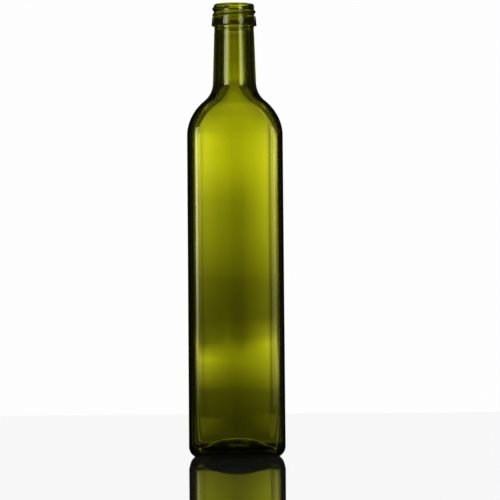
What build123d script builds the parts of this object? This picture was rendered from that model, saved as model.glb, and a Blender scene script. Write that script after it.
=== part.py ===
from build123d import *
from math import cos, pi, radians, sin, sqrt, tan
import os

# Square glass bottle for olive oil, empty and open, with a screw finish for a tamper-evident cap.
# All sizes are in millimetres. The bottle stands on z = 0 with its axis on +Z, and its four flat
# sides face +-X and +-Y. It is one piece of glass, so it is one solid.

# Driving sizes: the whole bottle
total_height = 310.0
wall = 3.0

# Body: square with rounded corners, very slightly narrower at the shoulder than at the heel
body_width = 65.5
body_taper = 0.6          # what the width loses from the heel to the shoulder
corner_radius = 10.8

# Shoulder: a convex arc off the body runs into a concave arc up to the neck
shoulder_drop = 91.2      # from the rim down to where the shoulder starts
shoulder_arc = 31.9
neck_arc = 16.8
side_angle_at_neck = 16.0 # half of each side arc's angle where the section has become a circle
shoulder_sections = 15
straight_lead = 5.0       # body height that the shoulder's loft takes in, so that it starts straight

# Neck: a slightly tapered tube
neck_bottom_radius = 14.8
neck_top_radius = 13.65

# Base: a heel radius, a flat ring to stand on and a shallow dome pushed up inside the ring
heel_radius = 8.0
bearing_ring = 3.1        # width of the flat ring at the middle of a side
push_up_height = 5.5
floor_at_wall = 5.7       # height of the inner floor beside the wall
floor_at_centre = 11.9
inner_heel_radius = 5.0
floor_margin = 0.1        # flat left between the inner heel radius and the inner dome

# Finish: rim, thread, bead for the cap's ring, and a short straight below it down to the parting line
root_radius = 13.9        # glass behind the thread
mouth_radius = 10.5
thread_zone = 8.7         # rim to the top of the bead
bead_height = 6.3
bead_top_step = 1.0       # how far the bead's top edge stands out of the root
bead_bottom_step = 1.6
bead_edge = 0.35
ring_height = 2.4
ring_inset = 0.25         # the straight below the bead is this much smaller than the root
parting_groove = 0.3
lip_edge = 1.5
mouth_edge = 0.8
edge_share = 0.45         # most of the rim's wall that either of its two edges may take

# Thread: one right-hand ridge with faded ends
thread_pitch = 4.25
thread_width = 2.6
thread_height = 1.05
thread_top_drop = 2.35    # rim to the middle of the ridge's upper end
thread_run_out = 0.46     # middle of the ridge's lower end above the bead
thread_end_angle = 630.0
thread_fade = 30.0        # degrees over which each end comes up to full height
thread_step = 15.0
thread_sink = 0.5         # how deep the ridge's back lies in the neck
thread_end_depth = 0.3    # how deep the crest starts at both ends

# Worked out from the sizes above
shoulder_start = total_height - shoulder_drop
bead_top = total_height - thread_zone
bead_bottom = bead_top - bead_height
finish_bottom = bead_bottom - ring_height
bead_top_radius = root_radius + bead_top_step
bead_bottom_radius = root_radius + bead_bottom_step
rim_wall = root_radius - mouth_radius
push_up_radius = body_width / 2 - heel_radius - bearing_ring
floor_dome_radius = body_width / 2 - wall - inner_heel_radius - floor_margin
thread_turns = (thread_zone - thread_top_drop - thread_run_out) / thread_pitch
same_radius = 0.001       # two radii closer than this belong to the same edge


class Outline:
    """Half-width of the glass over height: body line, convex shoulder arc, concave neck arc.

    inset is 0 for the outside and the wall's thickness for the inside, whose arcs share the outside's
    centres, so the wall is even.
    """

    def __init__(self, inset):
        self.heel = body_width / 2 - inset
        self.body = (body_width - body_taper) / 2 - inset
        self.corner = corner_radius - inset
        self.neck_bottom = neck_bottom_radius - inset
        self.convex = shoulder_arc - inset
        self.concave = neck_arc + inset
        self.convex_x = self.body - self.convex
        self.concave_x = self.neck_bottom + self.concave
        reach = self.convex + self.concave
        self.neck_start = shoulder_start + sqrt(reach**2 - (self.concave_x - self.convex_x) ** 2)
        self.arcs_meet = shoulder_start + (self.neck_start - shoulder_start) * self.convex / reach

    def half_width(self, z):
        if z <= shoulder_start:
            return self.heel + (self.body - self.heel) * z / shoulder_start
        if z <= self.arcs_meet:
            return self.convex_x + sqrt(self.convex**2 - (z - shoulder_start) ** 2)
        return self.concave_x - sqrt(self.concave**2 - (self.neck_start - z) ** 2)


def rounded_section(z, half_width, corner):
    """Square section with rounded corners."""
    return Pos(0, 0, z) * RectangleRounded(2 * half_width, 2 * half_width, corner)


def bulged_section(z, half_width, half_chord, side_angle):
    """Four shallow side arcs joined by four tangent corner arcs.

    side_angle is half of each side arc's angle, in radians: at 0 the sides are straight, and at the
    right share of the radius all eight arcs lie on one circle.
    """
    joint_x = half_width - half_chord * tan(side_angle / 2)
    corner = (joint_x - half_chord) / (cos(side_angle) - sin(side_angle))
    centre = half_chord - corner * sin(side_angle)
    middle = centre + corner * cos(pi / 4)
    edges = []
    for turn in range(4):
        turned = Rot(0, 0, 90 * turn)
        low, high = (joint_x, -half_chord, z), (joint_x, half_chord, z)
        if side_angle > 0:
            side = Edge.make_three_point_arc(low, (half_width, 0, z), high)
        else:
            side = Edge.make_line(low, high)
        round_corner = Edge.make_three_point_arc(high, (middle, middle, z), (half_chord, joint_x, z))
        edges += [turned * side, turned * round_corner]
    return Face(Wire(edges))


def shoulder(outline):
    """Loft from the square body to the round foot of the neck."""
    neck_angle = radians(side_angle_at_neck)
    body_chord = outline.body - outline.corner
    neck_chord = outline.neck_bottom * sin(neck_angle)
    low = shoulder_start - straight_lead
    foot = outline.half_width(low)
    sections = [bulged_section(low, foot, foot - outline.corner, 0.0)]
    for step in range(1, shoulder_sections + 1):
        z = low + (outline.neck_start - low) * step / shoulder_sections
        half_width = outline.half_width(z)
        share = (half_width - outline.neck_bottom) / (outline.body - outline.neck_bottom)
        share = min(1.0, max(0.0, share))
        half_chord = neck_chord + (body_chord - neck_chord) * share
        sections.append(bulged_section(z, half_width, half_chord, neck_angle * (1 - share)))
    return loft(sections)


def body(outline, bottom, edge):
    """Tapered square prism up to where the shoulder's loft starts, with a rounded bottom edge."""
    top = shoulder_start - straight_lead
    low = rounded_section(bottom, outline.half_width(bottom), outline.corner)
    high = rounded_section(top, outline.half_width(top), outline.corner)
    prism = loft([low, high], ruled=True)
    return fillet(prism.edges().group_by(Axis.Z)[0], edge)


def turned(points):
    """Solid of revolution about the bottle's axis, from (radius, height) corners."""
    outline = Polyline(*[(r, 0, z) for r, z in points], close=True)
    return revolve(make_face(outline), Axis.Z)


def neck_and_finish(outline):
    """Solid neck, parting groove, bead and rim, before the bore is cut and the thread added."""
    ring_radius = root_radius - ring_inset
    points = [
        (0, outline.neck_start),
        (outline.neck_bottom, outline.neck_start),
        (neck_top_radius, finish_bottom - parting_groove),
        (neck_top_radius - parting_groove, finish_bottom),
        (ring_radius, finish_bottom + parting_groove),
        (ring_radius, bead_bottom),
        (bead_bottom_radius, bead_bottom),
        (bead_top_radius, bead_top),
        (root_radius, bead_top),
        (root_radius, total_height),
        (0, total_height),
    ]
    solid = turned(points)
    rim = solid.edges().filter_by(GeomType.CIRCLE).group_by(Axis.Z)[-1]
    solid = fillet(rim, min(lip_edge, edge_share * rim_wall))
    bead_edges = [
        edge
        for edge in solid.edges().filter_by(GeomType.CIRCLE)
        if min(abs(edge.radius - bead_top_radius), abs(edge.radius - bead_bottom_radius)) < same_radius
    ]
    return fillet(bead_edges, bead_edge)


def thread_section(angle, height):
    """The ridge's section at one angle: an arc-topped face whose straight back lies inside the glass."""
    z = total_height - thread_top_drop - thread_pitch * (thread_end_angle - angle) / 360
    inner = root_radius - thread_sink
    crest = root_radius + height
    low, top, high = (inner, 0, z - thread_width / 2), (crest, 0, z), (inner, 0, z + thread_width / 2)
    ridge = Edge.make_three_point_arc(low, top, high)
    return Rot(0, 0, angle) * Face(Wire([ridge, Edge.make_line(high, low)]))


def thread():
    """One ridge that climbs round the neck and sinks into it at both ends."""
    start = thread_end_angle - 360 * thread_turns
    count = round(360 * thread_turns / thread_step)
    sections = []
    for step in range(count + 1):
        angle = start + 360 * thread_turns * step / count
        share = min(1.0, min(angle - start, thread_end_angle - angle) / thread_fade)
        sections.append(thread_section(angle, (thread_height + thread_end_depth) * share - thread_end_depth))
    return loft(sections)


def dome(rim_radius, rim_z, top_z):
    """Spherical cap with its rim at rim_z and its top at top_z."""
    rise = top_z - rim_z
    radius = (rim_radius**2 + rise**2) / (2 * rise)
    ball = Pos(0, 0, top_z - radius) * Sphere(radius)
    keep = Pos(0, 0, top_z) * Box(4 * rim_radius, 4 * rim_radius, 2 * rise)
    return ball & keep


def cavity():
    """The room inside: body and shoulder at one wall's distance, and a bore up through the neck."""
    inner = Outline(wall)
    room = body(inner, floor_at_wall, inner_heel_radius) + shoulder(inner)
    edge = min(mouth_edge, edge_share * rim_wall)
    bore = turned([
        (0, inner.neck_start),
        (inner.neck_bottom, inner.neck_start),
        (mouth_radius, finish_bottom),
        (mouth_radius, total_height - edge),
        (mouth_radius + edge, total_height),
        (mouth_radius + edge, total_height + wall),
        (0, total_height + wall),
    ])
    return room + bore - dome(floor_dome_radius, floor_at_wall, floor_at_centre)


def bottle():
    outer = Outline(0.0)
    glass = body(outer, 0.0, heel_radius) + shoulder(outer) + neck_and_finish(outer) + thread()
    return glass - dome(push_up_radius, 0.0, push_up_height) - cavity()


os.makedirs("parts", exist_ok=True)
glass = bottle()
glass.label = "bottle"
export_step(glass, "parts/bottle.step")
print(f"glass volume: {glass.volume / 1000:.1f} cm3, height {glass.bounding_box().max.Z:.2f} mm")
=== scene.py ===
from math import asin, atan, ceil, cos, degrees, pi, radians, sin, sqrt, tan
import bpy
from mathutils import Matrix, Vector


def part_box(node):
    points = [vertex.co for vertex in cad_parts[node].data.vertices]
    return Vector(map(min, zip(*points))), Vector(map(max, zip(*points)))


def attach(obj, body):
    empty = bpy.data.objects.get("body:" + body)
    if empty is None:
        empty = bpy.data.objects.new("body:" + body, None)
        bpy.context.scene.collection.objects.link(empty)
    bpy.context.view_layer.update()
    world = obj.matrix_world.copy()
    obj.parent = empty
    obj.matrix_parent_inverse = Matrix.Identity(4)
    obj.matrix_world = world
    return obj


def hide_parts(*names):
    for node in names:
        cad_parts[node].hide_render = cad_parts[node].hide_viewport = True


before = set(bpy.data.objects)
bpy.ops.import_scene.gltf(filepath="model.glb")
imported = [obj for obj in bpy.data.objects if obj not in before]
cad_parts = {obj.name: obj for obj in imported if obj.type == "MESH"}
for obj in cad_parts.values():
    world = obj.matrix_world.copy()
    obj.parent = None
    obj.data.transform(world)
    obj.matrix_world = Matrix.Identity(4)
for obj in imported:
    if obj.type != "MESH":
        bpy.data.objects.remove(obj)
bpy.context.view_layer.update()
bottleLow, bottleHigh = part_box("bottle")
mm = 0.001
quarterTurn = 90
fullTurn = 360
toDegrees = degrees(1)
scene = bpy.context.scene


# A socket that can stand in plain arithmetic, and a tree that makes any node with one method.
class Wire:
    def __init__(self, tree, socket):
        self.tree = tree
        self.socket = socket

    def calc(self, operation, *values):
        inputs = {place: value for place, value in enumerate(values)}
        return self.tree.node("ShaderNodeMath", {"operation": operation}, inputs)

    def __add__(self, other):
        return self.calc("ADD", self, other)

    def __radd__(self, other):
        return self.calc("ADD", other, self)

    def __sub__(self, other):
        return self.calc("SUBTRACT", self, other)

    def __rsub__(self, other):
        return self.calc("SUBTRACT", other, self)

    def __mul__(self, other):
        return self.calc("MULTIPLY", self, other)

    def __rmul__(self, other):
        return self.calc("MULTIPLY", other, self)

    def __truediv__(self, other):
        return self.calc("DIVIDE", self, other)

    def __lt__(self, other):
        return self.calc("LESS_THAN", self, other)

    def __gt__(self, other):
        return self.calc("GREATER_THAN", self, other)

    def __mod__(self, other):
        return self.calc("FLOORED_MODULO", self, other)

    def __abs__(self):
        return self.calc("ABSOLUTE", self)

    def floor(self):
        return self.calc("FLOOR", self)

    def round(self):
        return self.calc("ROUND", self)

    def sqrt(self):
        return self.calc("SQRT", self)

    def sin(self):
        return self.calc("SINE", self)

    def cos(self):
        return self.calc("COSINE", self)

    def tan(self):
        return self.calc("TANGENT", self)

    def least(self, other):
        return self.calc("MINIMUM", self, other)

    def most(self, other):
        return self.calc("MAXIMUM", self, other)

    def smoothMost(self, other, blend):
        return self.calc("SMOOTH_MAX", self, other, blend)

    def arctan2(self, other):
        return self.calc("ARCTAN2", self, other)

    def clipped(self):
        return self.most(0.0).least(1.0)

    # the grey of a colour as one number
    def number(self):
        return self.calc("MULTIPLY", self, 1.0)

    def part(self, place):
        return Wire(self.tree, self.socket.node.outputs[place])


class Tree:
    def __init__(self, nodeTree):
        self.nodeTree = nodeTree

    def node(self, kind, settings=None, inputs=None, output=0):
        made = self.nodeTree.nodes.new(kind)
        for name, value in (settings or {}).items():
            if name == "stops":
                self.setStops(made.color_ramp, value)
            else:
                setattr(made, name, value)
        for place, value in (inputs or {}).items():
            if isinstance(value, Wire):
                self.nodeTree.links.new(value.socket, made.inputs[place])
            else:
                made.inputs[place].default_value = value
        return Wire(self, made.outputs[output]) if made.outputs else made

    def setStops(self, ramp, stops):
        while len(ramp.elements) < len(stops):
            ramp.elements.new(1.0)
        for element, (position, colour) in zip(ramp.elements, stops):
            element.position = position
            element.color = colour if isinstance(colour, tuple) else (colour, colour, colour, 1.0)


def newMaterial(name):
    material = bpy.data.materials.new(name)
    material.use_nodes = True
    material.node_tree.nodes.clear()
    return material, Tree(material.node_tree)


# A point's place on its own object, in metres
def placeOn(tree):
    where = tree.node("ShaderNodeTexCoord", {}, {}, output="Object")
    return tree.node("ShaderNodeSeparateXYZ", {}, {0: where})


# In metres and degrees
cameraSettings = {
    "distance": 2.0,          # from the bottle's axis
    "height": 0.115,
    "azimuth": 0.0,           # to the right of straight on
    "lookRight": 0.009734,    # what the camera looks at
    "lookHeight": 0.141149,
    "roll": 0.453,
    "lens": 210.07,           # focal length in millimetres
    "clipEnd": 50.0,
}


def makeCamera():
    settings = cameraSettings
    turn = radians(settings["azimuth"])
    away = settings["distance"]
    place = Vector((away * sin(turn), -away * cos(turn), settings["height"]))
    right = Vector((cos(turn), sin(turn), 0.0))
    target = right * settings["lookRight"] + Vector((0.0, 0.0, settings["lookHeight"]))
    aim = (target - place).to_track_quat("-Z", "Y").to_matrix().to_4x4()
    data = bpy.data.cameras.new("camera")
    data.lens = settings["lens"]
    data.clip_end = settings["clipEnd"]
    camera = bpy.data.objects.new("camera", data)
    roll = Matrix.Rotation(radians(-settings["roll"]), 4, "Z")
    camera.matrix_world = Matrix.Translation(place) @ aim @ roll
    scene.collection.objects.link(camera)
    scene.camera = camera


# The glass is clear on its surface, and its green comes from how deep the light goes through it.
glassSettings = {
    "ior": 1.52,
    "density": 900.0,         # per metre of glass
    "colour": (0.914, 0.922, 0.05, 1.0),
    "surface": (1.0, 1.0, 1.0, 1.0),
    "transmission": 1.0,
    "roughLow": 0.01,
    "roughHigh": 0.02,
    "waveScale": 45.0,        # faint waves in the surface
    "waveDetail": 1.0,
    "waveStrength": 0.02,
    "waveDistance": 0.0004,
}

# The bottle's sizes in millimetres, with angles in degrees
bottleSizes = {
    "height": (bottleHigh[2] - bottleLow[2]) / mm,
    "heelWidth": 65.5,
    "bodyTaper": 0.6,         # what the width loses from the heel to the shoulder
    "cornerRadius": 10.8,
    "wall": 3.0,
    "neckGain": 0.36,         # how much thicker the wall gets up the shoulder
    "gainPower": 1.5,         # how late on the way up it does
    "faceBulge": 0.4,         # extra glass in the middle of each flat side
    "innerChord": 22.6,       # half of the length of each inner side
    "innerAngle": -6.4,       # half of its arc, which bows towards the axis
    "shoulderDrop": 91.2,     # from the rim down to where the shoulder starts
    "shoulderArc": 31.9,
    "neckArc": 16.8,
    "sideAngle": 16.0,        # half of a side's arc where the section has become a circle
    "neckBottomRadius": 14.8,
    "neckTopRadius": 13.65,
    "heelRadius": 8.0,
    "bearingRing": 3.1,       # width of the flat ring that it stands on, and the rounding inside it
    "bearingEdge": 1.8,
    "pushUpHeight": 5.5,
    "floorAtWall": 3.0,
    "floorAtCentre": 12.4,
    "floorPower": 2.6,        # how flat the inner dome's top is
    "floorMargin": 0.2,       # flat left between the inner heel radius and the inner dome
    "innerHeelRadius": 5.5,
    "rootRadius": 13.9,       # glass behind the thread
    "mouthRadius": 10.5,
    "boreBottomRadius": 10.7,
    "threadZone": 8.7,        # from the rim down to the bead
    "beadHeight": 6.3,
    "beadTopStep": 1.0,       # how far the bead stands out of the root at its top and its bottom
    "beadBottomStep": 1.6,
    "beadEdge": 0.35,
    "ringHeight": 2.4,
    "ringInset": 0.25,
    "groove": 0.3,
    "grooveEdge": 0.35,
    "lipEdge": 1.5,
    "lipShare": 0.98,         # how much of the lip's edge its rounding takes
    "mouthEdge": 0.8,
    "boreEdge": 6.0,          # how softly the bore opens below the thread
    "boreInBead": 11.05,      # it is widest at the bead's bottom and closes a little below it
    "boreStep": 1.5,
    "boreStepHeight": 1.8,
}
# The thread is one ridge that climbs round the neck. Its sizes and the inner wall's go to the node group by
# these names.
threadSizes = {
    "Pitch": 4.25,
    "Ridge radius": 1.32,
    "Crest": 1.05,            # how far the ridge stands out
    "Top drop": 2.35,         # from the rim down to its upper end
    "Turns": 1.386,
    "End angle": 630.0,       # which way its upper end faces
    "Fade": 30.0,             # degrees over which each end comes up to full height
    "End depth": 0.3,         # how deep the crest starts at both ends
    "Foot blend": 0.35,       # how softly it leaves the root
}
wanderSizes = {
    "Wander": 0.5,            # how far the inner wall drifts, from furthest in to furthest out
    "Wander scale": 22.0,
    "Wander seed": 3.0,
    "Lean": 0.25,             # how far the room inside lies to one side
}
meshSteps = {
    "Side columns": 24,
    "Corner columns": 32,
    "Merge distance": 0.001,  # points closer than this become one
    "bodyRow": 4.5,           # row spacing along the body, the shoulder, the neck and the thread
    "shoulderRow": 1.1,
    "neckRow": 2.5,
    "threadRow": 0.17,
    "ringRow": 1.0,           # and on the flat ring under the base
    "arcStep": 12.0,          # degrees between the rows of a small rounding
    "arcRows": 3,             # steps that it has at least
    "heelStep": 6,            # degrees between the rows of the heel
    "domeRows": 16,
    "floorRows": 24,
    "floorCrowding": 1.3,     # how much closer the inner floor's rows are near the wall
    "slopeStep": 0.01,        # how far up and down the wall's slope is taken
}


# Half-width and section shape over height: body line, convex shoulder arc, concave neck arc. The inside
# lies a wall further in, measured the way that light crosses it, so that the sloping shoulder doesn't bend
# what shows through it.
def makeOutline():
    sizes = bottleSizes
    shoulderStart = sizes["height"] - sizes["shoulderDrop"]
    heel = sizes["heelWidth"] / 2
    body = heel - sizes["bodyTaper"] / 2
    neck = sizes["neckBottomRadius"]
    convex = sizes["shoulderArc"]
    concave = sizes["neckArc"]
    convexX = body - convex
    concaveX = neck + concave
    rise = sqrt((convex + concave) ** 2 - (concaveX - convexX) ** 2)
    arcsMeet = shoulderStart + rise * convex / (convex + concave)
    neckStart = shoulderStart + rise
    neckAngle = radians(sizes["sideAngle"])
    sineAtNeck = sin(neckAngle)
    bodyChord = heel - sizes["cornerRadius"]
    innerAngle = radians(sizes["innerAngle"])
    ior = glassSettings["ior"]
    step = meshSteps["slopeStep"]

    def halfWidth(z):
        if z <= shoulderStart:
            return heel + (body - heel) * z / shoulderStart
        if z <= arcsMeet:
            return convexX + sqrt(convex**2 - (z - shoulderStart) ** 2)
        return concaveX - sqrt(max(0.0, concave**2 - (neckStart - z) ** 2))

    # share of the way from the neck's circle, at 0, to the body's square, at 1
    def squareness(z):
        return min(1.0, max(0.0, (halfWidth(z) - neck) / (body - neck)))

    def outer(z):
        share = squareness(z)
        chord = neck * sineAtNeck + (bodyChord - neck * sineAtNeck) * share
        return halfWidth(z), z, chord, neckAngle * (1 - share), 0.0, 0.0

    def inner(z):
        share = squareness(z)
        slope = atan((halfWidth(z - step) - halfWidth(z + step)) / (2 * step))
        bent = asin(sin(slope) / ior)
        climbed = min(1.0, max(0.0, (z - shoulderStart) / rise))
        wall = sizes["wall"] + sizes["neckGain"] * climbed ** sizes["gainPower"]
        crossing = wall * (ior * cos(bent) + cos(slope)) / ((ior + 1) * cos(bent))
        width = halfWidth(z) - crossing * cos(slope - bent) - sizes["faceBulge"] * share
        low = z - crossing * sin(slope - bent)
        innerNeck = (neck - wall) * sineAtNeck
        chord = innerNeck + (sizes["innerChord"] - innerNeck) * share
        angle = neckAngle + (innerAngle - neckAngle) * share
        return width, low, chord, angle, 0.0, share

    return outer, inner, shoulderStart, neckStart


# A row is half-width, height, half chord, side angle, share of the thread and share of the inner wall.
def roundRow(radius, z, ridge=0.0, inside=0.0):
    angle = radians(bottleSizes["sideAngle"])
    return radius, z, radius * sin(angle), angle, ridge, inside


def spread(low, high, step):
    count = max(1, ceil(abs(high - low) / step))
    return [low + (high - low) * place / count for place in range(count + 1)]


# A path of straight stretches and small arcs through (radius, height, rounding) corners
def roundedPath(corners, step):
    points = []
    for place, (r, z, rounding) in enumerate(corners):
        here = Vector((r, z))
        if place in (0, len(corners) - 1) or rounding == 0:
            points.append(here)
            continue
        back = (Vector(corners[place - 1][:2]) - here).normalized()
        ahead = (Vector(corners[place + 1][:2]) - here).normalized()
        half = back.angle(ahead) / 2
        reach = rounding / tan(half)
        centre = here + (back + ahead).normalized() * rounding / sin(half)
        start = here + back * reach - centre
        sweep = start.angle_signed(here + ahead * reach - centre)
        count = max(meshSteps["arcRows"], ceil(abs(degrees(sweep)) / meshSteps["arcStep"]))
        for share in range(count + 1):
            points.append(centre + Matrix.Rotation(-sweep * share / count, 2) @ start)
    filled = [points[0]]
    for point in points[1:]:
        count = max(1, ceil((point - filled[-1]).length / step))
        start = filled[-1]
        filled += [start.lerp(point, (share + 1) / count) for share in range(count)]
    return filled


def bottleRows():
    sizes = bottleSizes
    top = sizes["height"]
    beadTop = top - sizes["threadZone"]
    beadBottom = beadTop - sizes["beadHeight"]
    finishBottom = beadBottom - sizes["ringHeight"]
    root = sizes["rootRadius"]
    ring = root - sizes["ringInset"]
    neckTop = sizes["neckTopRadius"]
    groove = sizes["groove"]
    chord = sizes["heelWidth"] / 2 - sizes["cornerRadius"]
    outer, inner, shoulderStart, neckStart = makeOutline()
    rows = []

    # underside: the dome pushed up, then the flat ring
    pushUp = sizes["heelWidth"] / 2 - sizes["heelRadius"] - sizes["bearingRing"]
    domeRise = sizes["pushUpHeight"]
    domeRadius = (pushUp**2 + domeRise**2) / (2 * domeRise)
    domeZ = domeRise - domeRadius

    def domeRow(share):
        radius = pushUp * share
        return radius, domeZ + sqrt(domeRadius**2 - radius**2)

    count = meshSteps["domeRows"]
    rows += [roundRow(*domeRow(share / count)) for share in range(count)]
    foot = [
        (*domeRow(1 - 1 / count), 0.0),
        (pushUp, 0.0, sizes["bearingEdge"]),
        (pushUp + sizes["bearingRing"] / 2, 0.0, 0.0),
    ]
    rows += [roundRow(r, z) for r, z in roundedPath(foot, meshSteps["ringRow"])[1:]]

    # heel
    heelRadius = sizes["heelRadius"]
    flat = sizes["heelWidth"] / 2 - heelRadius
    for angle in range(0, quarterTurn + 1, meshSteps["heelStep"]):
        swing = radians(angle)
        width = flat + heelRadius * sin(swing)
        rows.append((width, heelRadius * (1 - cos(swing)), chord, 0.0, 0.0, 0.0))

    # body and shoulder
    rows += [outer(z) for z in spread(heelRadius, shoulderStart, meshSteps["bodyRow"])[1:]]
    rows += [outer(z) for z in spread(shoulderStart, neckStart, meshSteps["shoulderRow"])[1:]]

    # neck, parting groove, ring and bead, up to the foot of the thread
    edge = sizes["beadEdge"]
    threadStart = beadTop + 2 * edge
    neck = [
        (sizes["neckBottomRadius"], neckStart, 0.0),
        (neckTop, finishBottom - 2 * groove, sizes["grooveEdge"]),
        (neckTop - groove, finishBottom, sizes["grooveEdge"]),
        (ring, finishBottom + 2 * groove, sizes["grooveEdge"]),
        (ring, beadBottom, edge),
        (root + sizes["beadBottomStep"], beadBottom, edge),
        (root + sizes["beadTopStep"], beadTop, edge),
        (root, beadTop, edge),
        (root, threadStart, 0.0),
    ]
    rows += [roundRow(r, z) for r, z in roundedPath(neck, meshSteps["neckRow"])[1:]]
    threadEnd = top - sizes["lipEdge"]
    heights = spread(threadStart, threadEnd, meshSteps["threadRow"])
    rows += [roundRow(root, z, ridge=1.0) for z in heights[1:]]

    # lip and bore
    rim = [
        (root, threadEnd, 0.0),
        (root, top, sizes["lipEdge"] * sizes["lipShare"]),
        (sizes["mouthRadius"], top, sizes["mouthEdge"]),
        (sizes["mouthRadius"], beadTop, sizes["boreEdge"]),
        (sizes["boreInBead"], beadBottom, sizes["boreStep"]),
        (sizes["boreBottomRadius"], beadBottom - sizes["boreStepHeight"], sizes["boreStep"]),
        (sizes["neckBottomRadius"] - sizes["wall"] - sizes["neckGain"], neckStart, 0.0),
    ]
    rows += [roundRow(r, z) for r, z in roundedPath(rim, meshSteps["neckRow"])[1:]]

    # inside: shoulder, body, heel and floor
    rows += [inner(z) for z in spread(neckStart, shoulderStart, meshSteps["shoulderRow"])[1:]]
    innerHeel = sizes["innerHeelRadius"]
    floorZ = sizes["floorAtWall"]
    heelTop = floorZ + innerHeel
    rows += [inner(z) for z in spread(shoulderStart, heelTop, meshSteps["bodyRow"])[1:]]
    wide, _, innerChord, innerAngle, _, _ = inner(heelTop)
    for angle in range(meshSteps["heelStep"], quarterTurn + 1, meshSteps["heelStep"]):
        swing = radians(angle)
        width = wide - innerHeel * (1 - cos(swing))
        rows.append((width, heelTop - innerHeel * sin(swing), innerChord, innerAngle, 0.0, 1.0))
    floorRadius = wide - innerHeel - sizes["floorMargin"]
    rise = sizes["floorAtCentre"] - floorZ
    count = meshSteps["floorRows"]
    for share in range(1, count + 1):
        radius = floorRadius * (1 - (share / count) ** meshSteps["floorCrowding"])
        z = floorZ + rise * (1 - (radius / floorRadius) ** sizes["floorPower"])
        rows.append(roundRow(radius, z, inside=1.0))
    return rows


# The rows become points that carry each section's shape.
def profileObject(rows):
    mesh = bpy.data.meshes.new("bottle_glass")
    mesh.from_pydata([(row[0] * mm, 0.0, row[1] * mm) for row in rows], [], [])
    for place, name in enumerate(("halfChord", "sideAngle", "ridge", "inside"), start=2):
        attribute = mesh.attributes.new(name, "FLOAT", "POINT")
        scale = mm if name == "halfChord" else 1.0
        attribute.data.foreach_set("value", [row[place] * scale for row in rows])
    thing = bpy.data.objects.new("bottle_glass", mesh)
    scene.collection.objects.link(thing)
    return thing


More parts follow.
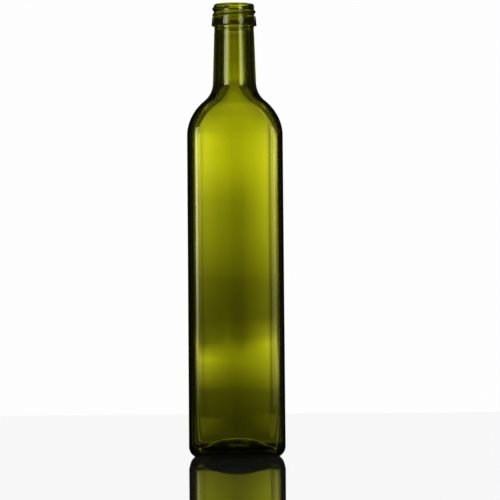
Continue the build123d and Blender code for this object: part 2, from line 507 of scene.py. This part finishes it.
# Sweeps the profile round the axis: a quarter is one shallow side arc and one corner arc, and the thread's
# ridge is raised on the rows marked for it.
def sweepTree():
    group = bpy.data.node_groups.new("sectionSweep", "GeometryNodeTree")
    group.interface.new_socket("Geometry", in_out="INPUT", socket_type="NodeSocketGeometry")
    group.interface.new_socket("Geometry", in_out="OUTPUT", socket_type="NodeSocketGeometry")
    for name in ("Side columns", "Corner columns"):
        group.interface.new_socket(name, in_out="INPUT", socket_type="NodeSocketInt")
    for name in [*threadSizes, *wanderSizes, "Root radius", "Rim height", "Merge distance"]:
        group.interface.new_socket(name, in_out="INPUT", socket_type="NodeSocketFloat")
    group.interface.new_socket("Glass", in_out="INPUT", socket_type="NodeSocketMaterial")
    tree = Tree(group)
    given = tree.node("NodeGroupInput")
    profile = given.part("Geometry")
    sideColumns = given.part("Side columns")
    quarterColumns = sideColumns + given.part("Corner columns")
    columns = 4 * quarterColumns
    rowCount = tree.node("GeometryNodeAttributeDomainSize", {}, {"Geometry": profile})

    # a flat grid one metre wide about the origin, with a column for each angle and a row for each point
    grid = tree.node("GeometryNodeMeshGrid", {}, {"Size X": 1.0, "Size Y": 1.0, "Vertices X": columns + 1,
        "Vertices Y": rowCount})
    gridHalf = 0.5
    at = tree.node("ShaderNodeSeparateXYZ", {}, {0: tree.node("GeometryNodeInputPosition")})
    column = ((at.part("X") + gridHalf) * columns).round()
    row = ((at.part("Y") + gridHalf) * (rowCount - 1)).round()

    def sampled(kind, field):
        return tree.node("GeometryNodeSampleIndex", {"data_type": kind, "domain": "POINT"},
            {"Geometry": profile, "Value": field, "Index": row})

    def named(name):
        field = tree.node("GeometryNodeInputNamedAttribute", {"data_type": "FLOAT"}, {"Name": name})
        return sampled("FLOAT", field)

    place = sampled("FLOAT_VECTOR", tree.node("GeometryNodeInputPosition"))
    place = tree.node("ShaderNodeSeparateXYZ", {}, {0: place})
    halfWidth = place.part("X")
    height = place.part("Z")
    chord = named("halfChord")
    sideAngle = named("sideAngle")
    ridge = named("ridge")
    inside = named("inside")

    slack = 0.001             # so that a quarter's first column never rounds into the one before
    quarter = (column / quarterColumns + slack).floor()
    inQuarter = column - quarter * quarterColumns
    onSide = inQuarter < sideColumns

    # the side: a shallow arc through the middle of the side
    along = chord * (2 * inQuarter / sideColumns - 1)
    leastChord = 1e-9         # a row on the axis has no chord to divide by
    bend = sideAngle.sin() / chord.most(leastChord)
    sag = bend * along * along / (1 + (1 - bend * bend * along * along).most(0.0).sqrt())
    # the corner: an arc tangent to both sides
    jointX = halfWidth - chord * (sideAngle / 2).tan()
    corner = (jointX - chord) / (sideAngle.cos() - sideAngle.sin())
    centre = chord - corner * sideAngle.sin()
    swing = sideAngle + (pi / 2 - 2 * sideAngle) * (inQuarter - sideColumns) / given.part("Corner columns")
    x = onSide * (halfWidth - sag) + (1 - onSide) * (centre + corner * swing.cos())
    y = onSide * along + (1 - onSide) * (centre + corner * swing.sin())

    # the thread: the ridge's height above the root at this angle and height
    angle = (y.arctan2(x) * toDegrees + quarterTurn * quarter) % fullTurn
    endAngle = given.part("End angle")
    startAngle = endAngle - fullTurn * given.part("Turns")
    radius = given.part("Ridge radius")
    depth = given.part("End depth")
    blend = given.part("Foot blend")
    raised = 0.0 * x          # nothing yet, everywhere
    for turn in (0, 1):       # the ridge passes each angle twice at most
        reached = angle + fullTurn * turn
        drop = given.part("Top drop") + given.part("Pitch") * (endAngle - reached) / fullTurn
        off = (height - (given.part("Rim height") - drop)).least(radius).most(0 - radius)
        fade = ((reached - startAngle).least(endAngle - reached) / given.part("Fade")).clipped()
        crest = (given.part("Crest") + depth) * fade - depth
        arc = crest - radius + (radius * radius - off * off).most(0.0).sqrt()
        raised = raised.smoothMost(arc, blend)
    blendRise = 1 / 6         # the share of its blend that a smooth maximum adds where both are equal
    lift = 1 + ridge * (raised - blend * blendRise).most(0.0) / given.part("Root radius")

    point = tree.node("ShaderNodeCombineXYZ", {}, {"X": x * lift, "Y": y * lift, "Z": height})
    turned = tree.node("ShaderNodeVectorRotate", {"rotation_type": "Z_AXIS"}, {"Vector": point,
        "Angle": quarter * (pi / 2)})
    # blown glass: the inner wall wanders in and out in broad waves, and leans to one side
    drift = tree.node("ShaderNodeTexNoise", {"noise_dimensions": "4D"}, {"Vector": turned,
        "W": given.part("Wander seed"), "Scale": given.part("Wander scale"), "Detail": 0.0})
    noiseMiddle = 0.5
    push = inside * given.part("Wander") * (drift - noiseMiddle)
    flat = tree.node("ShaderNodeVectorMath", {"operation": "MULTIPLY"}, {0: turned, 1: (1.0, 1.0, 0.0)})
    outward = tree.node("ShaderNodeVectorMath", {"operation": "NORMALIZE"}, {0: flat})
    drifted = tree.node("ShaderNodeVectorMath", {"operation": "SCALE"}, {0: outward, "Scale": push})
    lean = tree.node("ShaderNodeCombineXYZ", {}, {"X": inside * given.part("Lean")})
    shift = tree.node("ShaderNodeVectorMath", {"operation": "ADD"}, {0: drifted, 1: lean})
    swept = tree.node("GeometryNodeSetPosition", {}, {"Geometry": grid, "Position": turned,
        "Offset": shift})
    joined = tree.node("GeometryNodeMergeByDistance", {}, {"Geometry": swept,
        "Distance": given.part("Merge distance")})
    smooth = tree.node("GeometryNodeSetShadeSmooth", {}, {"Geometry": joined})
    real = tree.node("GeometryNodeRealizeInstances", {}, {"Geometry": smooth})
    coated = tree.node("GeometryNodeSetMaterial", {}, {"Geometry": real, "Material": given.part("Glass")})
    tree.node("NodeGroupOutput", {}, {"Geometry": coated})
    return group


# Runs a node group on an object and turns what comes out into a plain mesh.
def applyTree(thing, group, values):
    modifier = thing.modifiers.new("nodes", "NODES")
    modifier.node_group = group
    for item in group.interface.items_tree:
        if item.in_out == "INPUT" and item.name in values:
            modifier[item.identifier] = values[item.name]
    view = bpy.context.evaluated_depsgraph_get()
    mesh = bpy.data.meshes.new_from_object(thing.evaluated_get(view))
    thing.modifiers.clear()
    thing.data = mesh
    return mesh


def glassMaterial():
    settings = glassSettings
    material, tree = newMaterial("green_glass")
    where = tree.node("ShaderNodeTexCoord", {}, {}, output="Object")
    waves = tree.node("ShaderNodeTexNoise", {}, {"Vector": where, "Scale": settings["waveScale"],
        "Detail": settings["waveDetail"]})
    bump = tree.node("ShaderNodeBump", {}, {"Height": waves, "Strength": settings["waveStrength"],
        "Distance": settings["waveDistance"]})
    rough = settings["roughLow"] + (settings["roughHigh"] - settings["roughLow"]) * waves
    shader = tree.node("ShaderNodeBsdfPrincipled", {}, {"Base Color": settings["surface"],
        "IOR": settings["ior"], "Transmission Weight": settings["transmission"], "Roughness": rough,
        "Normal": bump})
    depth = tree.node("ShaderNodeVolumeAbsorption", {}, {"Color": settings["colour"],
        "Density": settings["density"]})
    tree.node("ShaderNodeOutputMaterial", {}, {"Surface": shader, "Volume": depth})
    return material


def makeBottle():
    rows = bottleRows()
    thing = profileObject(rows)
    values = {**threadSizes, **wanderSizes, **meshSteps}
    values["Root radius"] = bottleSizes["rootRadius"]
    values["Rim height"] = bottleSizes["height"]
    lengths = ("Pitch", "Ridge radius", "Crest", "Top drop", "End depth", "Foot blend", "Wander", "Lean",
        "Root radius", "Rim height", "Merge distance")
    for name in lengths:
        values[name] *= mm
    values["Glass"] = glassMaterial()
    mesh = applyTree(thing, sweepTree(), values)
    print("bottle:", len(rows), "rows,", len(mesh.vertices), "vertices,", len(mesh.polygons), "faces")
    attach(thing, "root")
    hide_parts("bottle")


def stagePlane(name, corners):
    mesh = bpy.data.meshes.new(name)
    mesh.from_pydata(corners, [], [(0, 1, 2, 3)])
    thing = bpy.data.objects.new(name, mesh)
    scene.collection.objects.link(thing)
    return thing


def hideFrom(thing, *rays):
    for name in rays:
        setattr(thing, "visible_" + name, False)


def grey(level):
    return level, level, level, 1.0


# Degrees aside of the nearest of the four directions that the flat sides face
def sideOf(at):
    azimuth = at.part("X").arctan2(at.part("Y")) * toDegrees
    return (azimuth + quarterTurn / 2) % quarterTurn - quarterTurn / 2


tableSettings = {
    "back": 0.67,             # where the table ends behind the bottle
    "reach": 4.0,             # how far it goes forward and to each side
    "colour": (0.86, 0.86, 0.87, 1.0),
    "mirrorColour": (0.5, 0.5, 0.5, 1.0),
    "mirrorRoughness": 0.0,
    "facingBlend": 0.5,       # reads the angle as it is
    # how much the table mirrors, from looking down on it to looking along it
    "mirror": [(0.826, 0.05), (0.87, 0.1), (0.9, 0.3), (0.925, 0.993)],
    # what counts as a low angle, on the same scale
    "lowAngle": [(0.8, 0.0), (0.9, 1.0)],
    # painted light and shade: how light the table is painted through the glass at a low angle, by degrees
    # aside of where a flat side faces
    "paintedThroughGlass": [(0.0, 0.045), (1.0, 0.05), (3.0, 0.11), (5.0, 0.1), (8.0, 0.02)],
    "widestAside": 10.0,      # degrees that those levels span
    "footShadowRadius": 0.09,       # painted shadow: through the glass the table is painted dark up to this far from the axis
    "footShadowFade": 0.08,
    "paintedDarkInGloss": 0.01,          # how dark the table is painted where the bottle's own reflections show it
}


def makeTable():
    settings = tableSettings
    back, reach = settings["back"], settings["reach"]
    corners = [(-reach, -reach, 0.0), (reach, -reach, 0.0), (reach, back, 0.0), (-reach, back, 0.0)]
    table = stagePlane("table", corners)
    material, tree = newMaterial("pale_table")
    facing = tree.node("ShaderNodeLayerWeight", {}, {"Blend": settings["facingBlend"]}, output="Facing")
    mirror = tree.node("ShaderNodeValToRGB", {"stops": settings["mirror"]}, {0: facing})
    pale = tree.node("ShaderNodeBsdfDiffuse", {}, {"Color": settings["colour"]})
    gloss = tree.node("ShaderNodeBsdfGlossy", {}, {"Color": settings["mirrorColour"],
        "Roughness": settings["mirrorRoughness"]})
    top = tree.node("ShaderNodeMixShader", {}, {0: mirror, 1: pale, 2: gloss})
    path = tree.node("ShaderNodeLightPath")
    through = path.part("Is Transmission Ray")
    low = tree.node("ShaderNodeValToRGB", {"stops": settings["lowAngle"]}, {0: facing}).number()
    at = placeOn(tree)
    far = (at.part("X") * at.part("X") + at.part("Y") * at.part("Y")).sqrt()
    # painted shadow: the table is painted dark around the bottle's foot where it shows through the glass
    foot = (1 - (far - settings["footShadowRadius"]) / settings["footShadowFade"]).clipped()
    # painted light and shade: through the glass the table shows set emission levels by angle, not its lit
    # surface
    aside = abs(sideOf(at)) / settings["widestAside"]
    stops = [(angle / settings["widestAside"], level) for angle, level in settings["paintedThroughGlass"]]
    level = tree.node("ShaderNodeValToRGB", {"stops": stops}, {0: aside}) * (1 - foot)
    dim = tree.node("ShaderNodeEmission", {}, {"Color": level})
    behind = tree.node("ShaderNodeMixShader", {}, {0: through * low.most(foot), 1: top, 2: dim})
    # painted dark reflection: in the bottle's blurry reflections the table shows as a dark emission, not
    # its lit surface
    dark = tree.node("ShaderNodeEmission", {}, {"Color": grey(settings["paintedDarkInGloss"])})
    paintedDarkInGloss = path.part("Is Glossy Ray") * (1 - path.part("Is Singular Ray")) * (1 - through)
    shown = tree.node("ShaderNodeMixShader", {}, {0: paintedDarkInGloss, 1: behind, 2: dark})
    tree.node("ShaderNodeOutputMaterial", {}, {"Surface": shown})
    table.data.materials.append(material)


# The room as it shows through the glass: a round wall with a tall window opposite each flat side. Each
# window's level goes by height in metres, along its middle and along its left and its right edge.
windowSettings = {
    "radius": 2.4,
    "bottom": -0.4,
    "top": 2.0,
    "columns": 96,
    "low": -0.07,             # heights that the levels span
    "high": 0.53,
    "left": [(-0.07, 0.09), (-0.045, 0.14), (0.029, 0.76), (0.044, 0.43), (0.067, 0.2), (0.127, 0.25),
        (0.307, 0.96), (0.345, 0.85), (0.372, 0.47), (0.43, 0.25), (0.46, 0.22), (0.472, 0.035)],
    "middle": [(-0.07, 0.05), (-0.045, 0.1), (0.0, 0.36), (0.014, 0.35), (0.044, 0.115), (0.067, 0.085),
        (0.127, 0.107), (0.247, 0.335), (0.307, 0.62), (0.345, 0.65), (0.372, 0.46), (0.43, 0.2),
        (0.46, 0.2), (0.472, 0.035)],
    "right": [(-0.07, 0.065), (-0.045, 0.1), (0.0, 0.65), (0.032, 0.17), (0.067, 0.12), (0.127, 0.185),
        (0.247, 0.54), (0.307, 0.95), (0.345, 1.0), (0.372, 0.56), (0.43, 0.25), (0.46, 0.22),
        (0.472, 0.035)],
    "core": 0.8,              # degrees from a window's middle to where its edge's level starts to come in
    "spread": 3.9,            # and over which it does
    "edge": 4.6,              # degrees from its middle to where it starts to fade out
    "fade": 4.2,              # and over which it does
    "wideFrom": 0.375,        # it is wider higher up, behind the neck
    "wideOver": 0.02,
    "wideBy": 1.8,
    "between": 0.01,          # level between the windows
}


def makeWindows():
    settings = windowSettings
    radius, count = settings["radius"], settings["columns"]
    points = []
    for z in (settings["bottom"], settings["top"]):
        for n in range(count):
            turn = 2 * pi * n / count
            points.append((radius * sin(turn), radius * cos(turn), z))
    faces = [(n, (n + 1) % count, count + (n + 1) % count, count + n) for n in range(count)]
    mesh = bpy.data.meshes.new("windows")
    mesh.from_pydata(points, [], faces)
    wall = bpy.data.objects.new("windows", mesh)
    scene.collection.objects.link(wall)
    hideFrom(wall, "camera", "diffuse", "glossy", "shadow", "volume_scatter")
    material, tree = newMaterial("window_glow")
    at = placeOn(tree)
    aside = sideOf(at)
    low, high = settings["low"], settings["high"]
    up = (at.part("Z") - low) / (high - low)

    def byHeight(name):
        stops = [((z - low) / (high - low), level) for z, level in settings[name]]
        return tree.node("ShaderNodeValToRGB", {"stops": stops}, {0: up}).number()

    left, middle, right = byHeight("left"), byHeight("middle"), byHeight("right")
    outward = ((abs(aside) - settings["core"]) / settings["spread"]).clipped()
    onRight = aside > 0.0
    side = left + (right - left) * onRight
    wide = ((at.part("Z") - settings["wideFrom"]) / settings["wideOver"]).clipped() * settings["wideBy"]
    inside = (1 - (abs(aside) - wide - settings["edge"]) / settings["fade"]).clipped()
    level = middle + (side - middle) * outward
    glow = settings["between"] + (level - settings["between"]) * inside
    light = tree.node("ShaderNodeEmission", {}, {"Color": glow})
    tree.node("ShaderNodeOutputMaterial", {}, {"Surface": light})
    wall.data.materials.append(material)


# Two softboxes in front of the bottle, whose reflections run down its rounded corners and its neck
softboxSettings = {
    "distance": 1.0,
    "bottom": 0.0,
    "top": 0.75,
    # degrees off straight on
    "spans": {"left": (-57.0, -35.0), "right": (30.0, 49.0)},
    # level by height in metres
    "left": [(0.0, 0.12), (0.018, 0.37), (0.039, 1.0), (0.088, 1.66), (0.175, 3.7), (0.257, 4.2),
        (0.35, 4.0), (0.46, 4.0), (0.55, 5.0)],
    "right": [(0.0, 0.3), (0.1, 0.83), (0.175, 0.93), (0.257, 1.55), (0.35, 2.5), (0.46, 2.5),
        (0.55, 3.0)],
    "brightest": 5.0,
}


def makeSoftboxes():
    settings = softboxSettings
    away, bottom, top = settings["distance"], settings["bottom"], settings["top"]
    brightest = settings["brightest"]
    for side, span in settings["spans"].items():
        turns = [radians(angle) for angle in span]
        low = [(away * sin(t), -away * cos(t), bottom) for t in turns]
        high = [(x, y, top) for x, y, _ in low]
        box = stagePlane("softbox_" + side, [low[0], low[1], high[1], high[0]])
        hideFrom(box, "camera", "diffuse")
        material, tree = newMaterial("softbox_glow")
        up = (placeOn(tree).part("Z") - bottom) / (top - bottom)
        stops = [((z - bottom) / (top - bottom), level / brightest) for z, level in settings[side]]
        glow = tree.node("ShaderNodeValToRGB", {"stops": stops}, {0: up})
        light = tree.node("ShaderNodeEmission", {}, {"Color": glow, "Strength": brightest})
        tree.node("ShaderNodeOutputMaterial", {}, {"Surface": light})
        box.data.materials.append(material)


worldSettings = {
    "background": (0.985, 0.985, 0.985, 1.0),     # behind everything
    "inTable": (1.86, 1.86, 1.87, 1.0),           # as the table mirrors it
    "room": 0.95,             # what lights the table
    "inGlass": 0.02,          # as it shows in the glass, beside the windows and the softboxes
}


def makeWorld():
    settings = worldSettings
    world = bpy.data.worlds.new("studio")
    world.use_nodes = True
    world.node_tree.nodes.clear()
    scene.world = world
    tree = Tree(world.node_tree)
    path = tree.node("ShaderNodeLightPath")
    white = tree.node("ShaderNodeBackground", {}, {"Color": settings["background"]})
    inTable = tree.node("ShaderNodeBackground", {}, {"Color": settings["inTable"]})
    room = tree.node("ShaderNodeBackground", {}, {"Color": grey(settings["room"])})
    dark = tree.node("ShaderNodeBackground", {}, {"Color": grey(settings["inGlass"])})
    mirrored = path.part("Is Singular Ray") * (1 - path.part("Is Transmission Ray"))
    shiny = tree.node("ShaderNodeMixShader", {}, {0: mirrored, 1: dark, 2: inTable})
    glossy = tree.node("ShaderNodeMixShader", {}, {0: path.part("Is Glossy Ray"), 1: room, 2: shiny})
    glass = tree.node("ShaderNodeMixShader", {}, {0: path.part("Is Transmission Ray"), 1: glossy, 2: dark})
    seen = tree.node("ShaderNodeMixShader", {}, {0: path.part("Is Camera Ray"), 1: glass, 2: white})
    tree.node("ShaderNodeOutputWorld", {}, {"Surface": seen})


scene.view_settings.view_transform = "Standard"
makeCamera()
print("camera set")
makeBottle()
makeTable()
print("table set")
makeWindows()
makeSoftboxes()
makeWorld()
print("windows, softboxes and background set")
